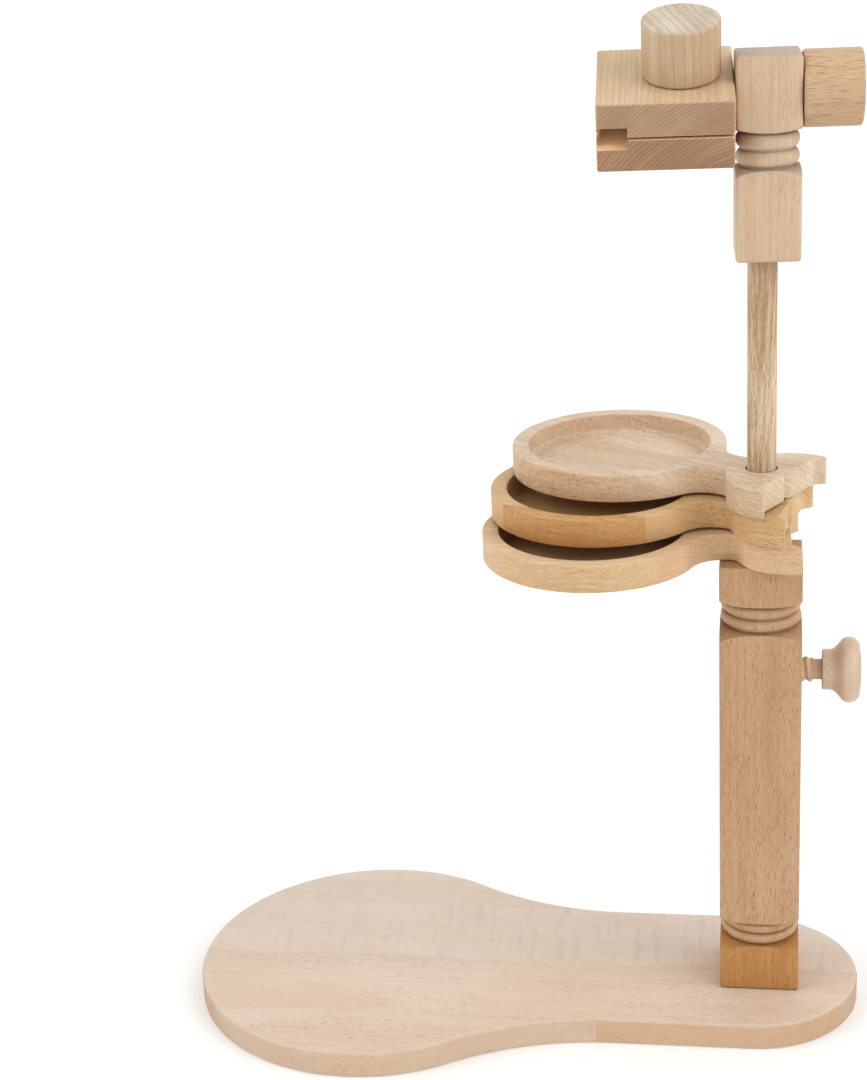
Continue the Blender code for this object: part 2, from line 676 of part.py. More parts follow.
tilt_insert = cylinder("tilt_knob_insert", INSERT_R, INSERT_NEAR,
                       INSERT_NEAR + INSERT_LEN, 28, tip=INSERT_TIP)
place(tilt_insert, TILT_PIN, (0.0, 0.0, TILT_KNOB_X))
tilt_bore = as_cutter(cylinder("tilt_insert_bore", M6_R + GAP, -0.01, 0.03, 20))
place(tilt_bore, TILT_PIN, (0.0, 0.0, TILT_KNOB_X))
cut(tilt_insert, tilt_bore)
tilt_hex = as_cutter(cylinder("tilt_insert_hex", DRIVE_HEX_R,
                              -0.01, INSERT_NEAR + DRIVE_DEPTH, 6))
place(tilt_hex, TILT_PIN, (0.0, 0.0, TILT_KNOB_X))
cut(tilt_insert, tilt_hex)
finish(tilt_insert)
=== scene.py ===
"""Beech embroidery hoop stand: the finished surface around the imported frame.

Metres, +Z up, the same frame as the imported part.  Each wooden piece is modelled
again at a fine resolution in the place its frame node holds, in its own axes, and
gets its own board of beech: growth rings about a pith line beside the piece,
medullary rays, pores along the grain, and darker end grain.
"""
import json
import math

import bmesh
import bpy
from mathutils import Euler, Matrix, Vector


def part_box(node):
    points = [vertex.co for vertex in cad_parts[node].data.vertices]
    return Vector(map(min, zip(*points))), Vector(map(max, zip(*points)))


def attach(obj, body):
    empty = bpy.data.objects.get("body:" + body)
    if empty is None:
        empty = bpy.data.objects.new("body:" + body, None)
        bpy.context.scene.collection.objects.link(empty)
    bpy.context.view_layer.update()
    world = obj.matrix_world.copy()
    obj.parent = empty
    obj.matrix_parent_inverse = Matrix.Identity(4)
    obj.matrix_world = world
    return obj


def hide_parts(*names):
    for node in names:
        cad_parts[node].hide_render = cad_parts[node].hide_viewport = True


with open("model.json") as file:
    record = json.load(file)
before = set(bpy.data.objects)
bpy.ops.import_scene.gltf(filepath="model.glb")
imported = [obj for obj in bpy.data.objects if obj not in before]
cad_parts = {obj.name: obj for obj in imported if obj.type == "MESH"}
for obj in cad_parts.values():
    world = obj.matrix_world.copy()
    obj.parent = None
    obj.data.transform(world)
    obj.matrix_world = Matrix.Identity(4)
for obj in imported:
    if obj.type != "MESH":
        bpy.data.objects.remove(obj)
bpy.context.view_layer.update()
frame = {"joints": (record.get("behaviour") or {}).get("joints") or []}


# ------------------------------------------------------------------ sizes
def middle(node):
    low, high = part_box(node)
    return (low + high) / 2


def joint(name):
    return next(j for j in frame["joints"] if j["name"] == name)


GAP = 0.0003                             # left between pieces that fit into each other
CUT_PAST = 0.0100                        # how far a cutter runs past the wood
BASE_LOW, BASE_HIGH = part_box("base_board")
BASE_LENGTH = BASE_HIGH.x - BASE_LOW.x
BASE_THICK = BASE_HIGH.z - BASE_LOW.z
BASE_ROUND_R = 0.0934
BASE_NARROW_R = 0.0538
BASE_WAIST_X = 0.050
BASE_EDGE = 0.0016
BASE_SEAMS = (-0.0540, 0.0, 0.0540)      # glue lines, y

MAST_AXIS = Vector((joint("head_swivel")["pos_m"][0], 0.0, 0.0))
COLUMN_SIDE = 0.0400
COLUMN_FOOT, COLUMN_TOP = (corner.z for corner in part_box("column"))
COLUMN_EDGE = 0.0010
FOOT_BLOCK_TOP = 0.0387
SHAFT_BOTTOM = 0.0531
SHAFT_TOP = 0.2122
TOP_BLOCK_BOTTOM = 0.2284
GROOVE_R = 0.0173
MAST_BORE_DEPTH = 0.1860
STUD_BORE_TOP = 0.0360
LOCK_BORE = (0.0030, 0.0300)             # from the mast's axis
BLANK_CLEAR = 0.0010                     # a round blank's radius past a square's corner
COLUMN_TOP_REACH = (0.0065, 0.0008), (0.0060, 0.0012)
COLUMN_FOOT_REACH = (0.0060, 0.0008), (0.0060, 0.0008)
HEAD_REACH = (0.0058, 0.0004), (0.0060, 0.0004)

DOWEL_R = 0.0070
DOWEL_FOOT, DOWEL_HEAD = (corner.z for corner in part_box("mast_dowel"))
HEAD_FOOT, HEAD_TOP = (corner.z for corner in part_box("head_block"))
HEAD_SIDE = 0.0299
HEAD_SWIVEL = 3.0
HEAD_LOW_TOP = 0.4388
HEAD_CUBE_FOOT = 0.4562
HEAD_GROOVE_R = 0.0122
BEAD_BULGE = 0.0024
HEAD_EDGE = 0.0017
TILT_Z = joint("jaw_tilt")["pos_m"][2]
TILT_HOLE_R = 0.0040

TRAY_REACH = 0.0825
TRAY_R = 0.0538
TRAY_BOWL_R = 0.0457
TRAY_BOWL_DEPTH = 0.0097
TRAY_THICK = 0.0137
TRAY_HOLE_R = 0.00775
TRAY_EDGE = 0.0006
TRAY_COVE = 0.0028
TRAY_SWING = {"tray_upper": 30.3, "tray_middle": 13.6, "tray_lower": -1.0}

JAW = 0.0618
JAW_DEPTH = 0.0600
JAW_CLEAR = 0.0004
JAW_UP_THICK = 0.0165
JAW_LOW_THICK = 0.0157
JAW_RISE = 0.0007
JAW_SPLIT = 0.0007
JAW_EDGE = 0.0012
JAW_TILT = 15.7
RECESS = 0.0050
HOOP_IN_R = 0.1100
HOOP_OUT_R = 0.1248
HOOP_LENS = 0.0028
THROAT_HALF = 0.0163
POCKET_HALF = 0.0253
POCKET_NEAR = 0.0200
POCKET_FAR = 0.0296
POCKET_CORNER = 0.0022
RECESS_PAST = 0.0030
CLAMP_X = -0.0235
UPPER_HOLE_R = 0.0038
LOWER_HOLE_R = 0.0036

CLAMP_KNOB_R = 0.01785
CLAMP_KNOB_H = 0.0263
TILT_KNOB_R = 0.0174
TILT_KNOB_LEN = 0.0268
TILT_KNOB_CLEAR = 0.0004
KNOB_EDGE = 0.0015
UP_TOP = JAW_UP_THICK / 2 + JAW_RISE
UP_FACE = UP_TOP - JAW_UP_THICK
TILT_KNOB_X = HEAD_SIDE + JAW_CLEAR + TILT_KNOB_CLEAR

M6_MAJOR = 0.00295
M6_CORE = 0.00248
M6_PITCH = 0.0010
NUT_FLATS = 0.0100
NUT_THICK = 0.0050
NUT_CHAMFER = 0.0007
NUT_SINK = 0.0013
INSERT_R = 0.0050
INSERT_LEN = 0.0130
INSERT_INSET = 0.0006
INSERT_SOCKET = 0.0160
DRIVE_FLATS = 0.0060
DRIVE_CLEAR = 0.0004
DRIVE_DEPTH = 0.0040
TILT_STUD_IN = 0.0162                    # into the upper jaw
TILT_STUD_OUT = 0.0140                   # past the tilt knob's face
CLAMP_STUD_DROP = 0.0295                 # below the clamp knob's face
CLAMP_STUD_RISE = 0.0150                 # into the clamp knob

LOCK_Z = joint("locking_knob_turn")["pos_m"][2]
LOCK_TIP = 0.0075
LOCK_THREAD_END = 0.0255
LOCK_COLLAR = 0.0301
LOCK_END = 0.0492
LOCK_MAJOR_R = 0.0063
LOCK_CORE_R = 0.0053
LOCK_NECK_R = 0.0051
LOCK_PITCH = 0.0038
LOCK_TENON = 0.0100                      # of the shank, inside the knob
LOCK_OVERLAP = 0.0040                    # of the plain neck, inside the thread

ROUND = 96                               # steps round a turned piece


# ------------------------------------------------------------------ mesh tools
def link(name, mesh):
    obj = bpy.data.objects.new(name, mesh)
    bpy.context.scene.collection.objects.link(obj)
    return obj


def remove(*objs):
    for obj in objs:
        bpy.data.objects.remove(obj, do_unlink=True)


def baked(obj, name=None):
    """The object with its modifiers made real."""
    bpy.context.view_layer.update()
    evaluated = obj.evaluated_get(bpy.context.evaluated_depsgraph_get())
    mesh = bpy.data.meshes.new_from_object(evaluated)
    result = link(name or obj.name + "_made", mesh)
    result.matrix_world = obj.matrix_world.copy()
    remove(obj)
    return result


def cut(obj, cutter, operation="DIFFERENCE"):
    mod = obj.modifiers.new("cut", "BOOLEAN")
    mod.operation = operation
    mod.solver = "EXACT"
    mod.object = cutter
    name = obj.name
    obj.name = name + "_blank"
    result = baked(obj, name)
    remove(cutter)
    return result


def bevelled(obj, width, segments=3, angle=50.0):
    mod = obj.modifiers.new("rounded_edges", "BEVEL")
    mod.width = width
    mod.segments = segments
    mod.limit_method = "ANGLE"
    mod.angle_limit = math.radians(angle)
    mod.harden_normals = False
    name = obj.name
    obj.name = name + "_blank"
    return baked(obj, name)


def turned(name, profile, sides=ROUND):
    """A solid of revolution about Z: profile is (radius, z) from the top down."""
    mesh = bpy.data.meshes.new(name)
    bm = bmesh.new()
    verts = [bm.verts.new((r, 0.0, z)) for r, z in profile]
    for a, b in zip(verts, verts[1:]):
        bm.edges.new((a, b))
    bm.to_mesh(mesh)
    bm.free()
    obj = link(name + "_profile", mesh)
    mod = obj.modifiers.new("turn", "SCREW")
    mod.axis = "Z"
    mod.angle = math.tau
    mod.steps = mod.render_steps = sides
    mod.use_merge_vertices = True
    mod.merge_threshold = 0.000005
    return baked(obj, name)


def cylinder(name, radius, z0, z1, sides=ROUND, tip=0.0):
    profile = [(0.0, z1), (radius, z1)]
    profile += [(radius, z0 + tip), (radius - tip, z0)] if tip else [(radius, z0)]
    return turned(name, profile + [(0.0, z0)], sides)


def rounded_cylinder(name, radius, z0, z1, edge, steps=7, sides=ROUND):
    """A cylinder with both rims rounded."""
    top = [(radius - edge + edge * math.sin(a), z1 - edge + edge * math.cos(a))
           for a in (math.pi / 2 * i / steps for i in range(steps + 1))]
    low = [(r, z0 + z1 - z) for r, z in reversed(top)]
    return turned(name, [(0.0, z1)] + top + low + [(0.0, z0)], sides)


def box(name, size, centre=(0.0, 0.0, 0.0)):
    bm = bmesh.new()
    bmesh.ops.create_cube(bm, size=1.0)
    bmesh.ops.scale(bm, vec=Vector(size), verts=bm.verts)
    bmesh.ops.translate(bm, vec=Vector(centre), verts=bm.verts)
    mesh = bpy.data.meshes.new(name)
    bm.to_mesh(mesh)
    bm.free()
    return link(name, mesh)


def prism(name, outline, z0, z1):
    """A flat closed outline given thickness."""
    bm = bmesh.new()
    face = bm.faces.new([bm.verts.new((x, y, z0)) for x, y in outline])
    raised = bmesh.ops.extrude_face_region(bm, geom=[face])
    top = [v for v in raised["geom"] if isinstance(v, bmesh.types.BMVert)]
    bmesh.ops.translate(bm, vec=(0.0, 0.0, z1 - z0), verts=top)
    bmesh.ops.recalc_face_normals(bm, faces=bm.faces)
    mesh = bpy.data.meshes.new(name)
    bm.to_mesh(mesh)
    bm.free()
    return link(name, mesh)


def arc(cx, cy, radius, start, end, count):
    """Points on a circle, from start to end degrees."""
    return [(cx + radius * math.cos(math.radians(start + (end - start) * i / count)),
             cy + radius * math.sin(math.radians(start + (end - start) * i / count)))
            for i in range(count + 1)]


def mirrored(half):
    return half + [(x, -y) for x, y in reversed(half) if abs(y) > 1e-7]


def bead(radius, z_top, z_low, bulge, count=14):
    mid, half = (z_top + z_low) / 2, (z_top - z_low) / 2
    return [(radius + bulge * math.sin(math.pi * i / count),
             mid + half * math.cos(math.pi * i / count)) for i in range(count + 1)]


def shoulder(corner, radius, z_square, z_groove, count=12):
    return [(radius + (corner - radius) * math.cos(math.pi / 2 * i / count),
             z_square + (z_groove - z_square) * math.sin(math.pi / 2 * i / count))
            for i in range(count + 1)]


def bead_zone(z_top, z_low, groove, bulge):
    """Two beads between three grooves."""
    lip = 0.0007
    mid = (z_top + z_low) / 2
    return (bead(groove, z_top - lip, mid + lip / 2, bulge)
            + bead(groove, mid - lip / 2, z_low + lip, bulge))


def turned_zone(corner, groove, square_top, square_foot, upper, lower):
    """The turning between two square blocks: shoulder, two beads, shoulder.

    upper and lower say how far each shoulder runs up its block and into the zone."""
    top, foot = square_top - upper[1], square_foot + lower[1]
    return (shoulder(corner, groove, square_top + upper[0], top)
            + bead_zone(top, foot, groove, BEAD_BULGE)
            + list(reversed(shoulder(corner, groove, square_foot - lower[0], foot))))


def threaded(name, core, major, pitch, z0, z1, steps=32, ramp=None):
    """A thread along Z: one pitch of profile swept as a helix, closed to the axis
    and trimmed square at both ends.  ramp lists (radius, share of the pitch)."""
    turns = math.ceil((z1 - z0) / pitch) + 2
    start = z0 - pitch
    ramp = ramp or [(core, 0.0), (core, 0.12), (major, 0.44), (major, 0.56), (core, 0.88), (core, 1.0)]
    mesh = bpy.data.meshes.new(name)
    bm = bmesh.new()
    verts = [bm.verts.new((r, 0.0, start + pitch * (1.0 - t))) for r, t in ramp]
    for a, b in zip(verts, verts[1:]):
        bm.edges.new((a, b))
    bm.to_mesh(mesh)
    bm.free()
    rod = link(name + "_helix", mesh)
    mod = rod.modifiers.new("helix", "SCREW")
    mod.axis = "Z"
    mod.angle = math.tau
    mod.screw_offset = pitch
    mod.iterations = turns
    mod.steps = mod.render_steps = steps
    mod.use_merge_vertices = True
    mod.merge_threshold = 0.000005
    rod = baked(rod, name)
    bm = bmesh.new()
    bm.from_mesh(rod.data)
    bmesh.ops.remove_doubles(bm, verts=bm.verts, dist=0.000005)
    rim = [e for e in bm.edges if e.is_boundary]
    halfway = (z0 + z1) / 2
    for low in (True, False):
        loop = [e for e in rim if ((e.verts[0].co.z + e.verts[1].co.z) / 2 < halfway) == low]
        z_axis = start + (0.5 if low else turns + 0.5) * pitch
        axis_point = bm.verts.new((0.0, 0.0, z_axis))
        for e in loop:
            bm.faces.new((e.verts[0], e.verts[1], axis_point))
    bmesh.ops.recalc_face_normals(bm, faces=bm.faces)
    bm.to_mesh(rod.data)
    bm.free()
    return cut(rod, rounded_cylinder(name + "_trim", major + 0.0001, z0, z1, 0.0006, 3, 48), "INTERSECT")


def split(obj, seams, axis, names):
    """Cut a board into its glued staves along planes across the given axis."""
    reach = 0.5
    cuts = [-reach, *seams, reach]
    staves = []
    for name, low, high in zip(names, cuts, cuts[1:]):
        size, centre = Vector((1.0, 1.0, 1.0)), Vector((0.0, 0.0, 0.0))
        size[axis] = high - low - 0.00002
        centre[axis] = (high + low) / 2
        slab = box("slab", size, centre)
        slab.matrix_world = obj.matrix_world.copy()
        stave = link(name, obj.data.copy())
        stave.matrix_world = obj.matrix_world.copy()
        staves.append(cut(stave, slab, "INTERSECT"))
    remove(obj)
    return staves


# ------------------------------------------------------------------ materials
class Tree:
    """A small writer for shader node trees."""

    def __init__(self, name):
        self.mat = bpy.data.materials.new(name)
        self.mat.use_nodes = True
        self.nodes = self.mat.node_tree.nodes
        self.links = self.mat.node_tree.links
        self.shader = self.nodes["Principled BSDF"]
        self.coords = self.nodes.new("ShaderNodeTexCoord")

    def feed(self, socket, value):
        if isinstance(value, bpy.types.NodeSocket):
            self.links.new(value, socket)
        else:
            socket.default_value = value

    def math(self, operation, a, b=0.0, clamp=False):
        node = self.nodes.new("ShaderNodeMath")
        node.operation = operation
        node.use_clamp = clamp
        self.feed(node.inputs[0], a)
        self.feed(node.inputs[1], b)
        return node.outputs[0]

    def ramp(self, value, low, high, out_low=0.0, out_high=1.0, smooth=True):
        node = self.nodes.new("ShaderNodeMapRange")
        node.interpolation_type = "SMOOTHSTEP" if smooth else "LINEAR"
        for socket, v in zip(node.inputs[:5], (value, low, high, out_low, out_high)):
            self.feed(socket, v)
        return node.outputs[0]

    def mapping(self, vector, location=(0, 0, 0), rotation=(0, 0, 0), scale=(1, 1, 1), kind="POINT"):
        node = self.nodes.new("ShaderNodeMapping")
        node.vector_type = kind
        self.feed(node.inputs["Vector"], vector)
        if kind == "POINT":
            node.inputs["Location"].default_value = location
        node.inputs["Rotation"].default_value = rotation
        node.inputs["Scale"].default_value = scale
        return node.outputs[0]

    def split(self, vector):
        node = self.nodes.new("ShaderNodeSeparateXYZ")
        self.feed(node.inputs[0], vector)
        return node.outputs

    def join(self, x, y, z):
        node = self.nodes.new("ShaderNodeCombineXYZ")
        for socket, v in zip(node.inputs, (x, y, z)):
            self.feed(socket, v)
        return node.outputs[0]

    def noise(self, vector, scale=(1, 1, 1), detail=2.0, rough=0.5, distortion=0.0):
        node = self.nodes.new("ShaderNodeTexNoise")
        self.feed(node.inputs["Vector"], self.mapping(vector, scale=scale))
        node.inputs["Scale"].default_value = 1.0
        node.inputs["Detail"].default_value = detail
        node.inputs["Roughness"].default_value = rough
        node.inputs["Distortion"].default_value = distortion
        return node.outputs["Fac"]

    def cells(self, vector, scale):
        node = self.nodes.new("ShaderNodeTexVoronoi")
        self.feed(node.inputs["Vector"], self.mapping(vector, scale=scale))
        node.inputs["Scale"].default_value = 1.0
        return node.outputs["Distance"], self.split(node.outputs["Color"])

    def mix(self, factor, a, b, kind="MIX"):
        node = self.nodes.new("ShaderNodeMix")
        node.data_type = "RGBA"
        node.blend_type = kind
        node.clamp_factor = True
        for index, v in ((0, factor), (6, a), (7, b)):
            if isinstance(v, tuple) and len(v) == 3:
                v = (*v, 1.0)
            self.feed(node.inputs[index], v)
        return node.outputs[2]

    def bump(self, height, strength, distance):
        node = self.nodes.new("ShaderNodeBump")
        node.inputs["Strength"].default_value = strength
        node.inputs["Distance"].default_value = distance
        self.feed(node.inputs["Height"], height)
        return node.outputs[0]


def linear(rgb):
    """8-bit display colour to linear light."""
    return tuple((c / 255 / 12.92) if c <= 10 else ((c / 255 + 0.055) / 1.055) ** 2.4 for c in rgb)


UPRIGHT_SHADE_TONE = (0.87, 0.74, 0.57)           # painted shade: the darker, warmer tone put on a board's upright faces, which take less light than its tops
FOOT_TONE = (0.96, 0.78, 0.46)           # of the oiliest wood, low on the column
FOOT_FADE = 0.0060                       # height over which that tone fades out
RECESS_LIGHT_TONE = (0.96, 0.72, 0.47)          # painted light: the pale orange put into a recess that the lamps leave too dark
# how fully that painted light covers the recess
RECESS_LIGHT_SHARE = 0.95
SPOT_MM = (0.30, 2.0, 2.3)               # half sizes of the bark streak
BARK_TONE = (84, 50, 32)                 # of the streak, as an 8-bit display colour

GRAIN_TURN = {                           # turns a piece's own axes so the grain runs along Z
    "x": (0.0, -math.pi / 2, 0.0),
    "y": (math.pi / 2, 0.0, 0.0),
    "z": (0.0, 0.0, 0.0),
}


def beech(name, light, warm, grain="z", pith=(120.0, 40.0), seed=1, rings=0.22, ring_mm=2.4,
          flecks=0.5, fleck_mm=(0.44, 3.6), figure=0.35, end=(0.82, 0.80, 0.78), rough=0.50, lean=0.0,
          lines=0.22, spread=0.5, waves=0.0, upright_shade=0.0, foot=None, recess_light=None, spot=None, swing=0.0):
    """A board of oiled beech.

    light and warm are the two tones it drifts between; pith is where its pith line
    lies beside the piece, in millimetres; flecks is the strength of the short ray
    dashes, fleck_mm their spacing across and along the grain and spread how evenly they
    lie; end tints the end grain, and where it pales the end grain it paints light on it,
    on some pieces a painted sheen; lines is the weight of each ring's dark line; lean tips
    the grain out of the piece's axis, in degrees; waves adds ripple across the grain;
    upright_shade is painted shade, darker and warmer, on the faces that stand upright on the
    board; foot warms the piece below a height, fresh is a box that gets painted light, a
    pale orange for a recess the lamps leave too dark, and spot a dark bark streak at a
    point of the piece, in metres; swing turns the board about Z, in degrees."""
    t = Tree(name)
    light, warm = linear(light), linear(warm)
    turn = Euler(GRAIN_TURN[grain])
    turn.rotate(Euler((math.radians(lean), 0.0, 0.0)))
    level = (0.0, 0.0, math.radians(swing))
    place = t.mapping(t.coords.outputs["Object"], rotation=level, scale=(1000, 1000, 1000))
    place = t.mapping(place, rotation=tuple(turn))
    wood = t.mapping(place, location=(pith[0], pith[1], 37.0 * seed))
    x, y, z = t.split(wood)

    # growth rings about the pith, wandering along the stem and uneven in width
    wander = t.noise(wood, (0.021, 0.021, 0.006), 2.0, 0.5)
    radius = t.math("SQRT", t.math("ADD", t.math("MULTIPLY", x, x), t.math("MULTIPLY", y, y)))
    radius = t.math("ADD", radius, t.math("MULTIPLY", wander, 9.0 + 10.0 * waves))
    rung = t.math("DIVIDE", radius, ring_mm)
    rung = t.math("ADD", rung, t.noise(t.join(rung, 0.37 * seed, 0.0), (0.33, 1, 1), 2.0, 0.6))
    late = t.math("POWER", t.math("FRACT", rung), 3.0)
    uneven = t.noise(t.join(rung, 0.61 * seed, t.math("MULTIPLY", z, 0.004)), (0.47, 1, 1), 4.0, 0.65)
    ring = t.math("ADD", t.math("MULTIPLY", late, lines), uneven)

    # medullary rays cut as short thin dashes along the grain, in two sizes
    across, along = fleck_mm
    near, cell = t.cells(wood, (1.0 / across, 1.0 / across, 1.0 / along))
    long_dash = t.math("MULTIPLY", t.ramp(near, 0.20, 0.46, 1.0, 0.0), t.ramp(cell[0], 0.15, 0.9))
    near, cell = t.cells(wood, (1.6 / across, 1.6 / across, 1.9 / along))
    fine_dash = t.math("MULTIPLY", t.ramp(near, 0.18, 0.46, 1.0, 0.0), t.ramp(cell[1], 0.1, 0.9))
    gather = t.ramp(t.noise(wood, (0.060, 0.060, 0.014), 2.0), 0.36, 0.62, spread, 1.0)
    ray = t.math("ADD", long_dash, t.math("MULTIPLY", fine_dash, 0.50), clamp=True)
    ray = t.math("MULTIPLY", ray, gather)

    # pores, streaks and slow drift of tone drawn out along the grain
    fibre = t.noise(wood, (2.6, 2.6, 0.075), 2.0, 0.6)
    streak = t.noise(wood, (0.55, 0.55, 0.012), 3.0, 0.6)
    cloud = t.noise(wood, (0.030, 0.030, 0.010), 3.0, 0.55)

    # how far the surface is cut across the grain
    facing = t.mapping(t.coords.outputs["Normal"], rotation=level, kind="VECTOR")
    facing = t.mapping(facing, rotation=tuple(turn), kind="VECTOR")
    cross = t.math("POWER", t.math("ABSOLUTE", t.split(facing)[2]), 2.5)

    tone = t.math("ADD", t.math("MULTIPLY", t.math("SUBTRACT", cloud, 0.5), 1.7),
                  t.math("MULTIPLY", t.math("SUBTRACT", streak, 0.5), 2.6 * figure))
    colour = t.mix(t.math("ADD", tone, 0.5, clamp=True), light, warm)
    ring_depth = t.ramp(cross, 0.0, 1.0, rings, min(1.0, rings * 1.7), False)
    late_tone = tuple(c * f for c, f in zip(warm, (0.78, 0.69, 0.60)))
    colour = t.mix(t.math("MULTIPLY", t.ramp(ring, 0.46, 0.84), ring_depth), colour, late_tone)
    depth = 0.34 * figure + 0.12
    shade = t.ramp(cross, 0.0, 1.0, depth, depth * 0.3)
    shade = t.math("ADD", 1.0, t.math("MULTIPLY", t.math("SUBTRACT", fibre, 0.5), shade))
    colour = t.mix(1.0, colour, t.join(shade, shade, shade), "MULTIPLY")
    ray_tone = tuple(c * f for c, f in zip(warm, (0.46, 0.31, 0.20)))
    ray_depth = t.ramp(cross, 0.0, 0.8, flecks, flecks * 0.15)
    colour = t.mix(t.math("MULTIPLY", ray, ray_depth), colour, ray_tone)
    speckle = t.ramp(t.noise(wood, (1.9, 1.9, 0.2), 2.0, 0.6), 0.35, 0.65, 0.98, 1.02)
    end_grain = t.mix(1.0, colour, end, "MULTIPLY")
    end_grain = t.mix(1.0, end_grain, t.join(speckle, speckle, speckle), "MULTIPLY")
    colour = t.mix(cross, colour, end_grain)
    if waves:
        ripple = t.noise(wood, (0.16, 0.035, 0.23), 3.0, 0.62, 0.6)
        pale = tuple(min(1.0, c * f) for c, f in zip(light, (0.86, 0.82, 0.79)))
        colour = t.mix(t.math("MULTIPLY", t.ramp(ripple, 0.50, 0.72), waves), colour, pale)
    # painted shade: faces that stand upright are darkened and warmed against the board's tops
    if upright_shade:
        upright = t.math("ABSOLUTE", t.split(t.coords.outputs["Normal"])[2])
        colour = t.mix(t.ramp(upright, 0.2, 0.95, upright_shade, 0.0), colour,
                       t.mix(1.0, colour, UPRIGHT_SHADE_TONE, "MULTIPLY"))
    if foot:
        height = t.split(t.coords.outputs["Object"])[2]
        colour = t.mix(t.ramp(height, foot, foot + FOOT_FADE, 1.0, 0.0), colour,
                       t.mix(1.0, colour, FOOT_TONE, "MULTIPLY"))
    # painted light: inside the given box the colour is lifted toward a pale orange, for a recess the lamps
    # leave too dark
    if recess_light:
        inside = 1.0
        for place, low, high in zip(t.split(t.coords.outputs["Object"]), *recess_light):
            inside = t.math("MULTIPLY", inside, t.math("GREATER_THAN", place, low))
            inside = t.math("MULTIPLY", inside, t.math("LESS_THAN", place, high))
        colour = t.mix(t.math("MULTIPLY", inside, RECESS_LIGHT_SHARE), colour, RECESS_LIGHT_TONE)
    if spot:
        middle_mm = tuple(-c * 1000 for c in spot)
        offset = t.mapping(t.coords.outputs["Object"], location=middle_mm, scale=(1000, 1000, 1000))
        parts = [t.math("POWER", t.math("DIVIDE", distance, size), 2.0)
                 for distance, size in zip(t.split(offset), SPOT_MM)]
        far = t.math("SQRT", t.math("ADD", parts[0], t.math("ADD", parts[1], parts[2])))
        colour = t.mix(t.ramp(far, 0.55, 1.05, 0.95, 0.0), colour, linear(BARK_TONE))
    t.feed(t.shader.inputs["Base Color"], colour)

    gloss = t.math("ADD", rough - 0.06, t.math("MULTIPLY", streak, 0.12))
    t.feed(t.shader.inputs["Roughness"], t.math("ADD", gloss, t.math("MULTIPLY", cross, 0.10)))
    t.shader.inputs["Specular IOR Level"].default_value = 0.50
    height = t.math("SUBTRACT", t.math("MULTIPLY", fibre, 0.7), t.math("MULTIPLY", ray, 0.45))
    t.feed(t.shader.inputs["Normal"], t.bump(height, 0.35, 0.00008))
    return t.mat


def zinc(name, along="z"):
    """Bright zinc on steel: a faint drawn grain and slightly uneven gloss."""
    t = Tree(name)
    turn = GRAIN_TURN[along]
    place = t.mapping(t.coords.outputs["Object"], rotation=turn, scale=(1000, 1000, 1000))
    drawn = t.noise(place, (3.0, 3.0, 0.25), 3.0, 0.6)
    bloom = t.noise(place, (0.35, 0.35, 0.35), 3.0, 0.55)
    colour = t.mix(bloom, (0.56, 0.575, 0.60), (0.74, 0.745, 0.75))
    t.feed(t.shader.inputs["Base Color"], colour)
    t.shader.inputs["Metallic"].default_value = 1.0
    t.feed(t.shader.inputs["Roughness"], t.ramp(drawn, 0.3, 0.7, 0.24, 0.36))
    t.feed(t.shader.inputs["Normal"], t.bump(drawn, 0.15, 0.00003))
    return t.mat


def dress(obj, material, body, slot, sharp=32.0, *replaced):
    """Finish a piece: shading, material, the body it rides and the nodes it stands for."""
    obj.data.materials.clear()
    obj.data.materials.append(material)
    obj.data.shade_smooth()
    obj.data.set_sharp_from_angle(angle=math.radians(sharp))
    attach(obj, body)
    if replaced:
        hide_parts(*replaced)
    return obj


def placed(obj, matrix):
    obj.matrix_world = matrix
    return obj


def at(x, y, z, rx=0.0, ry=0.0, rz=0.0):
    angles = Euler([math.radians(a) for a in (rx, ry, rz)])
    return Matrix.Translation((x, y, z)) @ angles.to_matrix().to_4x4()


# ------------------------------------------------------------------ base board
def base_outline():
    """Half-round narrow end, straight sides, flared waist, big round end."""
    narrow_x = BASE_LENGTH / 2 - BASE_NARROW_R
    round_x = -BASE_LENGTH / 2 + BASE_ROUND_R
    run = BASE_WAIST_X - round_x
    waist_r = ((run ** 2 - BASE_ROUND_R ** 2 + BASE_NARROW_R ** 2)
               / (2 * (BASE_ROUND_R - BASE_NARROW_R)))
    waist_y = BASE_NARROW_R + waist_r
    meet = math.degrees(math.atan2(waist_y, run))
    half = arc(narrow_x, 0.0, BASE_NARROW_R, 0.0, 90.0, 48)
    half += arc(BASE_WAIST_X, waist_y, waist_r, -90.0, -180.0 + meet, 30)
    half += arc(round_x, 0.0, BASE_ROUND_R, meet, 180.0, 84)[1:]
    return mirrored(half)


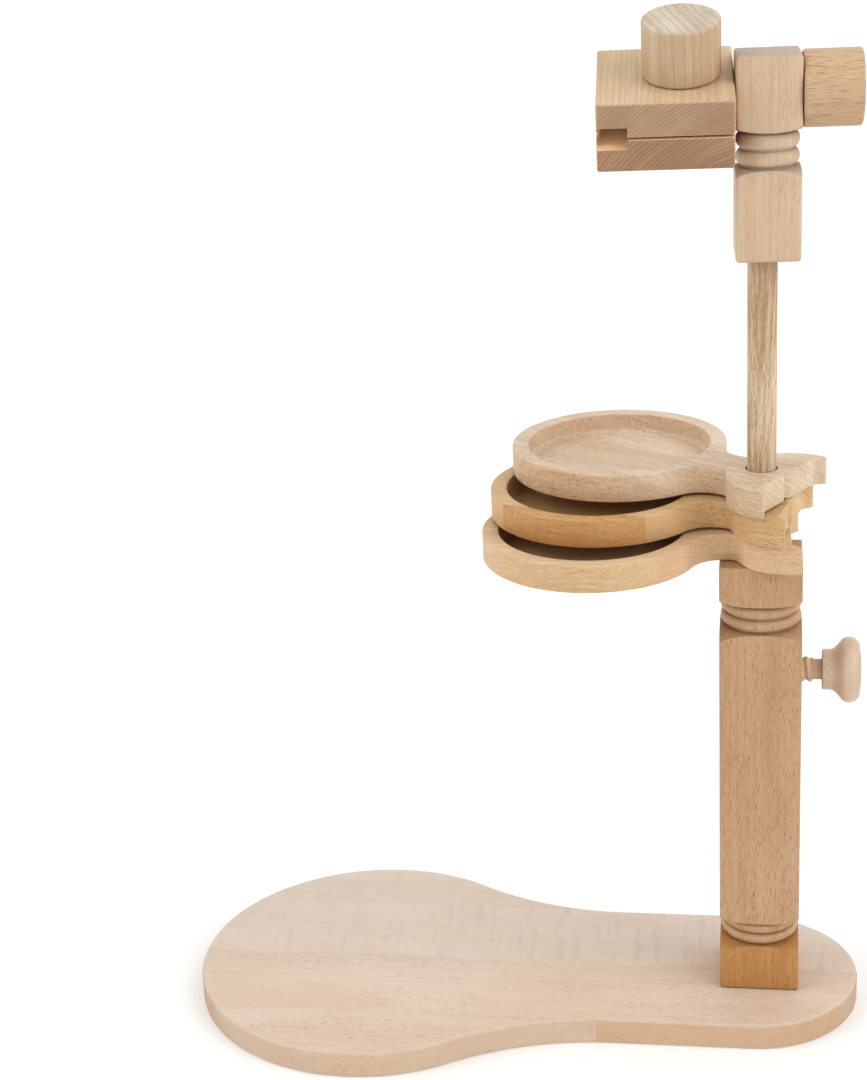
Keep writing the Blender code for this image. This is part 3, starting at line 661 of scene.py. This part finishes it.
def build_base():
    board = bevelled(prism("base_wood", base_outline(), 0.0, BASE_THICK), BASE_EDGE, 4, 60.0)
    x = MAST_AXIS.x
    seat = cylinder("insert_seat", INSERT_R + GAP, -CUT_PAST, BASE_THICK + CUT_PAST, 64)
    board = cut(board, placed(seat, at(x, 0, 0)))
    names = ["base_stave_front", "base_stave_mid_front", "base_stave_mid_back", "base_stave_back"]
    staves = split(board, BASE_SEAMS, 1, names)
    # the last figure of each look is the painted shade on that stave's upright faces
    looks = [
        beech("beech_base_front", (219, 206, 193), (210, 189, 168), "x", (60, 190), 3, 0.16, 3.1,
              0.46, (0.50, 4.6), upright_shade=0.42),
        beech("beech_base_mid_front", (219, 205, 191), (211, 189, 168), "x", (25, 210), 5, 0.14, 3.4,
              0.46, (0.50, 4.6), upright_shade=0.80),
        beech("beech_base_mid_back", (219, 208, 197), (213, 196, 181), "x", (230, 15), 7, 0.10, 2.6,
              0.18, waves=0.85, upright_shade=0.62),
        beech("beech_base_back", (218, 207, 195), (211, 194, 178), "x", (90, 180), 11, 0.15, 3.0,
              0.34, (0.50, 4.6), upright_shade=0.62),
    ]
    for stave, look in zip(staves, looks):
        dress(stave, look, "stand", "base_board", 30.0)
    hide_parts("base_board")


# ------------------------------------------------------------------ column
def column_profile():
    corner = COLUMN_SIDE / math.sqrt(2) + BLANK_CLEAR
    top, foot = COLUMN_TOP + CUT_PAST, COLUMN_FOOT - CUT_PAST
    points = [(0.0, top), (corner, top)]
    points += turned_zone(corner, GROOVE_R, TOP_BLOCK_BOTTOM, SHAFT_TOP, *COLUMN_TOP_REACH)
    points += turned_zone(corner, GROOVE_R, SHAFT_BOTTOM, FOOT_BLOCK_TOP, *COLUMN_FOOT_REACH)
    return points + [(corner, foot), (0.0, foot)]


def build_column():
    blank = box("column_wood", (COLUMN_SIDE, COLUMN_SIDE, COLUMN_TOP - COLUMN_FOOT),
                (0.0, 0.0, (COLUMN_TOP + COLUMN_FOOT) / 2))
    blank = bevelled(blank, COLUMN_EDGE, 4)
    blank = cut(blank, turned("column_turning", column_profile(), 128), "INTERSECT")
    bore_foot = COLUMN_TOP - MAST_BORE_DEPTH
    blank = cut(blank, cylinder("mast_bore", DOWEL_R + GAP, bore_foot, COLUMN_TOP + CUT_PAST, 64))
    blank = cut(blank, cylinder("stud_bore", M6_MAJOR + GAP, 0.0, STUD_BORE_TOP, 48))
    lock = cylinder("lock_bore", LOCK_MAJOR_R + GAP, *LOCK_BORE, 64)
    blank = cut(blank, placed(lock, at(0, 0, LOCK_Z, 0, 90, 0)))
    placed(blank, at(MAST_AXIS.x, 0, 0))
    look = beech("beech_column", (204, 172, 140), (187, 151, 114), "z", (35, 170), 2, 0.14, 2.6, 0.75,
                 (0.36, 5.2), figure=0.55, spread=0.8, foot=FOOT_BLOCK_TOP, spot=(-0.0030, -0.0200, 0.0700))
    dress(blank, look, "stand", "column", 28.0, "column")


# ------------------------------------------------------------------ hardware
def build_hardware():
    steel = zinc("zinc_steel")
    x = MAST_AXIS.x
    column_low, column_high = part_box("column_stud")
    stud = threaded("column_stud_thread", M6_CORE, M6_MAJOR, M6_PITCH, column_low.z, column_high.z)
    dress(placed(stud, at(x, 0, 0)), steel, "stand", "zinc_steel", 25.0, "column_stud")
    insert_low, insert_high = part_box("base_insert")
    dress(insert("base_insert_sleeve", insert_low.z, insert_high.z, at(x, 0, 0)), steel,
          "stand", "zinc_steel", 25.0, "base_insert")
    tilt = jaw_frame() @ at(0, 0, 0, 0, 90, 0)
    stud = threaded("tilt_stud_thread", M6_CORE, M6_MAJOR, M6_PITCH, -TILT_STUD_IN,
                    TILT_KNOB_X + TILT_STUD_OUT)
    dress(placed(stud, tilt), steel, "jaw", "zinc_steel", 25.0, "tilt_stud")
    sleeve_x = TILT_KNOB_X + INSERT_INSET
    dress(insert("tilt_insert_sleeve", sleeve_x, sleeve_x + INSERT_LEN, tilt), steel,
          "tilt_insert", "zinc_steel", 25.0, "tilt_knob_insert")
    clamp = jaw_frame() @ at(CLAMP_X, 0, UP_TOP + GAP)
    stud = threaded("clamp_stud_thread", M6_CORE, M6_MAJOR, M6_PITCH, -CLAMP_STUD_DROP, CLAMP_STUD_RISE)
    dress(placed(stud, clamp), steel, "clamp", "zinc_steel", 25.0, "clamp_stud")
    dress(nut("jaw_hex_nut"), steel, "lower_clamp_jaw", "zinc_steel", 25.0, "jaw_nut")


def insert(name, z0, z1, matrix):
    """A threaded sleeve with a hex drive in its low end."""
    flange, neck = INSERT_R, INSERT_R - 0.0006
    sleeve = turned(name, [(0.0, z1), (neck, z1), (neck, z0 + 0.0013), (flange, z0 + 0.0011),
                           (flange, z0 + 0.0003), (flange - 0.0003, z0), (0.0, z0)], 64)
    sleeve = cut(sleeve, cylinder("bore", M6_MAJOR + GAP, z0 - CUT_PAST, z1 + CUT_PAST, 48))
    drive_r = DRIVE_FLATS / 2 / math.cos(math.pi / 6) + DRIVE_CLEAR
    sleeve = cut(sleeve, cylinder("drive", drive_r, z0 - CUT_PAST, z0 + DRIVE_DEPTH, 6))
    return placed(sleeve, matrix)


def nut(name):
    """A hex nut with turned corners and a countersunk bore."""
    top = UP_FACE - JAW_SPLIT - GAP
    low = top - NUT_THICK
    corner = NUT_FLATS / 2 / math.cos(math.pi / 6)
    body = cylinder(name, corner, low, top, 6)
    face_r = NUT_FLATS / 2 - 0.0001
    shape = turned("nut_turning", [(0.0, top), (face_r, top), (corner, top - NUT_CHAMFER),
                                   (corner, low + NUT_CHAMFER), (face_r, low), (0.0, low)], 96)
    body = cut(body, shape, "INTERSECT")
    bore_r, sink_r = M6_MAJOR + GAP, M6_MAJOR + NUT_SINK
    past, sink = 0.0010, 0.0005
    bore = turned("nut_bore", [(0.0, top + past), (sink_r, top + past), (bore_r, top - sink),
                               (bore_r, low + sink), (sink_r, low - past), (0.0, low - past)], 48)
    return placed(cut(body, bore), jaw_frame() @ at(CLAMP_X, 0, 0))


# ------------------------------------------------------------------ locking screw
def lock_knob_profile():
    """Collar, hollow flare, rounded rim and a slightly domed end; the end is on top."""
    z = LOCK_COLLAR
    rim_r, rim_z, rim = 0.0113, z + 0.0131, 0.0051
    points = [(0.0, LOCK_END), (0.0035, LOCK_END - 0.00003), (0.0060, LOCK_END - 0.0001),
              (0.0085, LOCK_END - 0.0003), (0.0105, LOCK_END - 0.0006)]
    points += [(rim_r + rim * math.cos(math.radians(a)), rim_z + 1.06 * rim * math.sin(math.radians(a)))
               for a in range(75, -39, -6)]
    neck = [(0.0133, 0.0083), (0.0124, 0.0076), (0.0117, 0.0069), (0.0111, 0.0062), (0.0106, 0.0055),
            (0.0103, 0.0046), (0.01015, 0.0036), (0.01015, 0.0006), (0.0100, 0.0002), (0.0096, 0.0)]
    points += [(r, z + dz) for r, dz in neck]
    return points + [(0.0, z)]


def build_locking_screw():
    pin = at(MAST_AXIS.x, 0, LOCK_Z, 0, 90, 0)
    crest = LOCK_MAJOR_R - 0.0001
    wooden = [(LOCK_CORE_R, 0.0), (LOCK_CORE_R, 0.14), (crest, 0.38), (LOCK_MAJOR_R, 0.46),
              (LOCK_MAJOR_R, 0.60), (crest, 0.68), (LOCK_CORE_R, 1.0)]
    shank = threaded("locking_screw_thread", LOCK_CORE_R, LOCK_MAJOR_R, LOCK_PITCH, LOCK_TIP,
                     LOCK_THREAD_END, 64, wooden)
    neck = cylinder("locking_screw_neck", LOCK_NECK_R, LOCK_THREAD_END - LOCK_OVERLAP,
                    LOCK_COLLAR + LOCK_TENON, 64)
    shank = placed(cut(shank, neck, "UNION"), pin)
    look = beech("beech_lock_shank", (224, 200, 172), (212, 182, 150), "z", (50, 30), 13, 0.12, 1.7, 0.40)
    dress(shank, look, "locking_shank", "locking_screw_shank", 35.0, "locking_screw_shank")
    knob = turned("locking_screw_grip", lock_knob_profile(), 128)
    socket = cylinder("knob_socket", LOCK_NECK_R + GAP, LOCK_COLLAR - 0.0020,
                      LOCK_COLLAR + LOCK_TENON + 2 * GAP, 64)
    knob = cut(knob, socket)
    look = beech("beech_lock_knob", (220, 202, 183), (204, 178, 153), "z", (70, 25), 17, 0.22, 2.2, 0.45,
                 (0.44, 3.4), rough=0.34)
    dress(placed(knob, pin), look, "locking_knob", "locking_screw_knob", 40.0, "locking_screw_knob")


# ------------------------------------------------------------------ mast and head
def head_profile():
    corner = HEAD_SIDE / math.sqrt(2) + BLANK_CLEAR
    top, foot = HEAD_TOP + CUT_PAST, HEAD_FOOT - CUT_PAST
    points = [(0.0, top), (corner, top)]
    points += turned_zone(corner, HEAD_GROOVE_R, HEAD_CUBE_FOOT, HEAD_LOW_TOP, *HEAD_REACH)
    return points + [(corner, foot), (0.0, foot)]


def build_mast():
    dowel = rounded_cylinder("mast_rod", DOWEL_R, DOWEL_FOOT, DOWEL_HEAD, 0.0008, 4)
    look = beech("beech_dowel", (214, 194, 165), (178, 149, 114), "z", (14, 46), 19, 0.34, 1.5, 0.55,
                 (0.50, 7.0), figure=1.3, lean=4.0, spread=0.7)
    dress(placed(dowel, at(MAST_AXIS.x, 0, 0)), look, "mast", "mast_dowel", 40.0, "mast_dowel")

    head_x = middle("head_block").x
    head = box("head_wood", (HEAD_SIDE, HEAD_SIDE, HEAD_TOP - HEAD_FOOT),
               (0.0, 0.0, (HEAD_TOP + HEAD_FOOT) / 2))
    head = bevelled(head, HEAD_EDGE, 5)
    head = cut(head, turned("head_turning", head_profile(), 128), "INTERSECT")
    bore = cylinder("head_bore", DOWEL_R + GAP, HEAD_FOOT - CUT_PAST, DOWEL_HEAD + GAP, 64)
    turn_back = at(0, 0, 0, 0, 0, HEAD_SWIVEL).inverted()
    head = cut(head, placed(bore, turn_back @ at(MAST_AXIS.x - head_x, 0, 0)))
    hole = cylinder("tilt_hole", TILT_HOLE_R, -HEAD_SIDE, HEAD_SIDE, 64)
    head = cut(head, placed(hole, at(0, 0, TILT_Z, 0, 90, 0)))
    # the end tint darkens the head's end-grain top, as end grain is, and greys it as a painted sheen
    look = beech("beech_head", (213, 192, 166), (200, 171, 140), "z", (60, 95), 23, 0.16, 2.6, 0.40,
                 (0.46, 3.8), figure=0.6, end=(0.80, 0.88, 1.05))
    dress(placed(head, at(head_x, 0, 0, 0, 0, HEAD_SWIVEL)), look, "head", "head_block", 28.0, "head_block")


# ------------------------------------------------------------------ trays
def tray_outline():
    """Bowl, narrow neck and fish tail; x runs from the bowl to the tail."""
    neck_half, neck_x = 0.0107, -0.0184
    run = neck_x + TRAY_REACH
    neck_r = (run ** 2 + neck_half ** 2 - TRAY_R ** 2) / (2 * (TRAY_R - neck_half))
    meet = math.degrees(math.atan2(neck_half + neck_r, run))
    half = arc(-TRAY_REACH, 0.0, TRAY_R, 180.0, meet, 84)
    half += arc(neck_x, neck_half + neck_r, neck_r, -180.0 + meet, -90.0, 18)[1:]
    fin_r, fin_x, fin_y = 0.0268, 0.0137, 0.0038
    hollow_r = 0.0050
    dx = math.sqrt((fin_r + hollow_r) ** 2 - (neck_half + hollow_r - fin_y) ** 2)
    hollow_x = fin_x - dx
    turn = math.degrees(math.atan2(neck_half + hollow_r - fin_y, -dx))
    half += arc(hollow_x, neck_half + hollow_r, hollow_r, -90.0, turn - 180.0, 10)
    half += arc(fin_x, fin_y, fin_r, turn, 82.0, 26)[1:]
    half += [(0.0184, 0.0302), (0.0187, 0.0298), (0.0187, 0.0293), (0.0184, 0.0286), (0.0176, 0.0277),
             (0.0166, 0.0268), (0.0157, 0.0258), (0.0149, 0.0247), (0.0144, 0.0234), (0.0142, 0.0220),
             (0.0142, 0.0036), (0.0140, 0.0029), (0.0136, 0.0022), (0.0117, 0.0)]
    return mirrored(half)


def bowl_cutter():
    """Straight wall with a rounded rim, small cove, flat floor; from the top down."""
    floor = TRAY_THICK - TRAY_BOWL_DEPTH
    rim = 0.0007
    above = TRAY_THICK + 0.0050
    points = [(0.0, above), (TRAY_BOWL_R + 3 * rim, above), (TRAY_BOWL_R + rim, TRAY_THICK + 0.0001)]
    points += [(TRAY_BOWL_R + rim - rim * math.sin(math.radians(a)),
                TRAY_THICK - rim + rim * math.cos(math.radians(a))) for a in (0, 22, 45, 68, 90)]
    points += [(TRAY_BOWL_R - TRAY_COVE + TRAY_COVE * math.cos(math.radians(a)),
                floor + TRAY_COVE - TRAY_COVE * math.sin(math.radians(a))) for a in range(0, 91, 15)]
    return turned("bowl", points + [(0.0, floor)], 128)


def build_tray(node, body, seams, looks):
    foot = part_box(node)[0].z
    pivot = at(MAST_AXIS.x, 0, foot, 0, 0, -TRAY_SWING[node])
    tray = bevelled(prism(node + "_wood", tray_outline(), 0.0, TRAY_THICK), TRAY_EDGE, 3, 60.0)
    tray = cut(tray, placed(bowl_cutter(), at(-TRAY_REACH, 0, 0)))
    tray = cut(tray, cylinder("mast_hole", TRAY_HOLE_R, -CUT_PAST, TRAY_THICK + CUT_PAST, 72))
    names = [f"{node}_stave_{i + 1}" for i in range(len(looks))]
    staves = split(tray, seams, 1, names)
    for stave, look in zip(staves, looks):
        stave.data.transform(pivot)
        dress(stave, look, body, node, 30.0)
    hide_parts(node)


def tray_stave(name, light, warm, pith, seed, rings, ring_mm, flecks, along, figure, upright_shade, node):
    """One stave of a tray's board: grain along the tray, end grain painted pale as painted light on the end
    faces, and painted shade on the upright faces.
    """
    # painted light: the end tint pales the end faces, above all the tails' ends
    return beech(name, light, warm, "x", pith, seed, rings, ring_mm, flecks, (0.58, along), figure,
                 end=(1.06, 1.10, 1.18), upright_shade=upright_shade, swing=TRAY_SWING[node])


def build_trays():
    node = "tray_upper"
    build_tray(node, "upper_tray", (-0.0440, 0.0185), [
        tray_stave("beech_upper_front", (229, 214, 196), (212, 184, 154), (150, 30), 29, 0.34, 2.4,
                   0.95, 6.0, 0.9, 0.65, node),
        tray_stave("beech_upper_middle", (220, 206, 188), (206, 181, 152), (45, 120), 31, 0.28, 2.8,
                   0.65, 5.0, 0.8, 0.50, node),
        tray_stave("beech_upper_back", (221, 205, 187), (206, 180, 150), (130, 60), 37, 0.28, 2.6,
                   0.65, 5.0, 0.8, 0.40, node),
    ])
    node = "tray_middle"
    build_tray(node, "middle_tray", (-0.0400, 0.0127), [
        tray_stave("beech_middle_front", (212, 174, 121), (194, 150, 96), (20, 150), 41, 0.26, 3.0,
                   1.0, 6.5, 0.5, 0.40, node),
        tray_stave("beech_middle_middle", (216, 188, 148), (200, 166, 120), (170, 40), 43, 0.30, 2.5,
                   0.85, 5.5, 0.6, 0.40, node),
        tray_stave("beech_middle_back", (222, 198, 160), (208, 174, 130), (70, 130), 47, 0.26, 2.6,
                   0.60, 5.0, 0.5, 0.40, node),
    ])
    node = "tray_lower"
    build_tray(node, "lower_tray", (-0.0415, 0.0127), [
        tray_stave("beech_lower_front", (222, 200, 168), (206, 174, 136), (50, 160), 53, 0.26, 2.8,
                   0.65, 5.5, 0.6, 0.50, node),
        tray_stave("beech_lower_middle", (221, 197, 165), (205, 172, 136), (140, 70), 59, 0.26, 2.4,
                   0.60, 5.0, 0.6, 0.40, node),
        tray_stave("beech_lower_back", (226, 206, 176), (212, 182, 146), (70, 140), 61, 0.14, 2.6,
                   0.55, 5.0, 0.5, 0.50, node),
    ])


# ------------------------------------------------------------------ hoop clamp
def jaw_frame():
    """Origin on the tilt axis at the jaws' side next to the head; -X is outwards."""
    side = at(-HEAD_SIDE / 2 - JAW_CLEAR, 0, TILT_Z, JAW_TILT)
    return at(middle("head_block").x, 0, 0, 0, 0, HEAD_SWIVEL) @ side


def recess_outline():
    """Room for a hoop's curved rim, a throat, and a pocket for the rim's screw."""
    centre = -JAW + HOOP_LENS - HOOP_IN_R
    reach = JAW_DEPTH / 2 + RECESS_PAST

    def rim(radius, y):
        return centre + math.sqrt(radius ** 2 - y ** 2)

    steps = 24
    half = [(rim(HOOP_IN_R, reach * i / steps), reach * i / steps) for i in range(steps + 1)]
    half += [(rim(HOOP_OUT_R, y), y) for y in
             (reach + (THROAT_HALF - reach) * i / 12 for i in range(13))]
    near, far = -JAW + POCKET_NEAR, -JAW + POCKET_FAR
    half += [(near, THROAT_HALF)]
    half += arc(near + POCKET_CORNER, POCKET_HALF - POCKET_CORNER, POCKET_CORNER, 180.0, 90.0, 8)
    half += arc(far - POCKET_CORNER, POCKET_HALF - POCKET_CORNER, POCKET_CORNER, 90.0, 0.0, 8)
    half += [(far, 0.0)]
    return mirrored(half)


def jaw_blank(name, z_low, z_high, z_recess0, z_recess1):
    jaw = box(name, (JAW, JAW_DEPTH, z_high - z_low), (-JAW / 2, 0.0, (z_low + z_high) / 2))
    jaw = bevelled(jaw, JAW_EDGE, 4)
    return cut(jaw, prism("recess", recess_outline(), z_recess0, z_recess1))


def build_jaws():
    pose = jaw_frame()
    low_face = UP_FACE - JAW_SPLIT
    recess_low = Vector((-JAW + GAP, -JAW_DEPTH / 2 + GAP, low_face - RECESS - GAP))
    recess_high = Vector((-GAP, JAW_DEPTH / 2 - GAP, low_face - GAP))
    rise = Vector((0.0, 0.0, RECESS + JAW_SPLIT + 2 * GAP))
    upper = jaw_blank("upper_jaw_wood", UP_FACE, UP_TOP, UP_FACE - RECESS_PAST, UP_FACE + RECESS)
    hole = cylinder("hole", UPPER_HOLE_R, UP_FACE - CUT_PAST, UP_TOP + CUT_PAST, 64)
    upper = cut(upper, placed(hole, at(CLAMP_X, 0, 0)))
    socket = cylinder("socket", M6_MAJOR + GAP, -TILT_STUD_IN - GAP, CUT_PAST, 48)
    upper = cut(upper, placed(socket, at(0, 0, 0, 0, 90, 0)))
    # the jaw's recess gets painted light
    look = beech("beech_upper_jaw", (219, 198, 166), (201, 174, 141), "y", (-35, -97), 67, 0.30, 1.7, 0.42,
                 (0.44, 3.6), end=(0.67, 0.59, 0.57), lines=0.55, spread=0.7,
                 recess_light=(recess_low + rise, recess_high + rise))
    dress(placed(upper, pose), look, "jaw", "upper_jaw", 30.0, "upper_jaw")

    low = low_face - JAW_LOW_THICK
    lower = jaw_blank("lower_jaw_wood", low, low_face, low_face - RECESS, low_face + RECESS_PAST)
    hole = cylinder("hole", LOWER_HOLE_R, low - CUT_PAST, low_face + CUT_PAST, 64)
    lower = cut(lower, placed(hole, at(CLAMP_X, 0, 0)))
    pocket = cylinder("nut_pocket", (NUT_FLATS / 2 + GAP) / math.cos(math.pi / 6),
                      low_face - NUT_THICK - 2 * GAP, low_face + CUT_PAST, 6)
    lower = cut(lower, placed(pocket, at(CLAMP_X, 0, 0)))
    # the jaw's recess gets painted light
    look = beech("beech_lower_jaw", (198, 166, 136), (180, 144, 114), "y", (-30, -88), 71, 0.38, 1.9, 0.42,
                 (0.44, 3.6), end=(0.80, 0.76, 0.74), lines=0.6, recess_light=(recess_low, recess_high))
    dress(placed(lower, pose), look, "lower_clamp_jaw", "lower_jaw", 30.0, "lower_jaw")

    knob_pose = pose @ at(CLAMP_X, 0, UP_TOP + GAP)
    knob = rounded_cylinder("clamp_grip", CLAMP_KNOB_R, 0.0, CLAMP_KNOB_H, KNOB_EDGE)
    knob = cut(knob, cylinder("socket", M6_MAJOR + GAP, -CUT_PAST, CLAMP_STUD_RISE + GAP, 48))
    # painted sheen: the end tint pales and greys the knob's end-grain top
    look = beech("beech_clamp_knob", (209, 189, 161), (184, 153, 120), "z", (-130, -45), 73, 0.26, 4.2,
                 0.34, (0.44, 3.6), figure=0.45, lines=0.4, end=(1.05, 1.22, 1.50))
    dress(placed(knob, knob_pose), look, "clamp", "clamp_knob", 40.0, "clamp_knob")

    knob = rounded_cylinder("tilt_knob_grip", TILT_KNOB_R, 0.0, TILT_KNOB_LEN, KNOB_EDGE)
    knob = cut(knob, cylinder("socket", INSERT_R + GAP, -CUT_PAST, INSERT_SOCKET, 64))
    look = beech("beech_tilt_knob", (210, 184, 152), (194, 162, 128), "z", (24, 62), 79, 0.14, 2.6, 0.78,
                 (0.42, 8.0), end=(0.90, 0.92, 0.94), spread=0.85)
    knob_pose = pose @ at(TILT_KNOB_X, 0, 0, 0, 90, 0)
    dress(placed(knob, knob_pose), look, "tilt_grip", "tilt_knob", 40.0, "tilt_knob")


build_base()
build_column()
build_locking_screw()
build_mast()
build_trays()
build_jaws()
build_hardware()


# ------------------------------------------------------------------ stage
def build_floor():
    """A white floor that sweeps up all round, so that no edge shows from any side."""
    flat, sweep, drop = 10.0, 6.0, 0.0002
    rim = [(flat + sweep * math.cos(math.radians(a)), sweep + sweep * math.sin(math.radians(a)) - drop)
           for a in range(0, -91, -6)]
    floor = turned("studio_floor", rim + [(0.0, -drop)])
    floor.data.shade_smooth()
    t = Tree("studio_white")
    t.shader.inputs["Base Color"].default_value = (0.74, 0.74, 0.74, 1.0)
    t.shader.inputs["Roughness"].default_value = 0.9
    t.shader.inputs["Specular IOR Level"].default_value = 0.1
    t.shader.inputs["Emission Color"].default_value = (1.0, 1.0, 1.0, 1.0)
    t.shader.inputs["Emission Strength"].default_value = 0.23
    floor.data.materials.append(t.mat)


def sun_light(name, source, strength, softness):
    """A very soft far light that shines from the source direction."""
    data = bpy.data.lights.new(name, "SUN")
    data.energy = strength
    data.angle = math.radians(softness)
    lamp = bpy.data.objects.new(name, data)
    bpy.context.scene.collection.objects.link(lamp)
    lamp.rotation_mode = "QUATERNION"
    lamp.rotation_quaternion = (-Vector(source)).to_track_quat("-Z", "Y")


def build_light():
    """Soft light from both sides and the front, and a broad one from above and behind for the tops."""
    world = bpy.data.worlds.new("studio_world")
    world.use_nodes = True
    world.node_tree.nodes["Background"].inputs["Color"].default_value = (1.0, 0.97, 0.93, 1.0)
    world.node_tree.nodes["Background"].inputs["Strength"].default_value = 0.45
    bpy.context.scene.world = world
    sun_light("left_softbox", (-1.0, -0.38, 0.8), 1.05, 45.0)
    sun_light("right_softbox", (1.0, -0.38, 0.8), 1.20, 45.0)
    sun_light("front_softbox", (0.60, -1.0, 0.62), 0.42, 40.0)
    sun_light("back_softbox", (0.1, 0.7, 1.4), 0.76, 80.0)


def build_camera():
    """The photograph's viewpoint: in front of the column and looking a little down."""
    data = bpy.data.cameras.new("camera")
    data.sensor_width = 36.0
    data.lens = 70.96
    camera = bpy.data.objects.new("camera", data)
    bpy.context.scene.collection.objects.link(camera)
    yaw, pitch, roll = (math.radians(a) for a in (9.521, -20.558, 3.028))
    turn = Matrix.Rotation(yaw, 4, "Z") @ Matrix.Rotation(pitch, 4, "X") @ Matrix.Rotation(roll, 4, "Y")
    camera.matrix_world = (Matrix.Translation((0.1273, -0.9816, 0.6279)) @ turn
                           @ Matrix.Rotation(math.pi / 2, 4, "X"))
    bpy.context.scene.camera = camera


build_floor()
build_light()
build_camera()
bpy.context.scene.view_settings.view_transform = "Standard"
bpy.context.scene.view_settings.gamma = 0.88
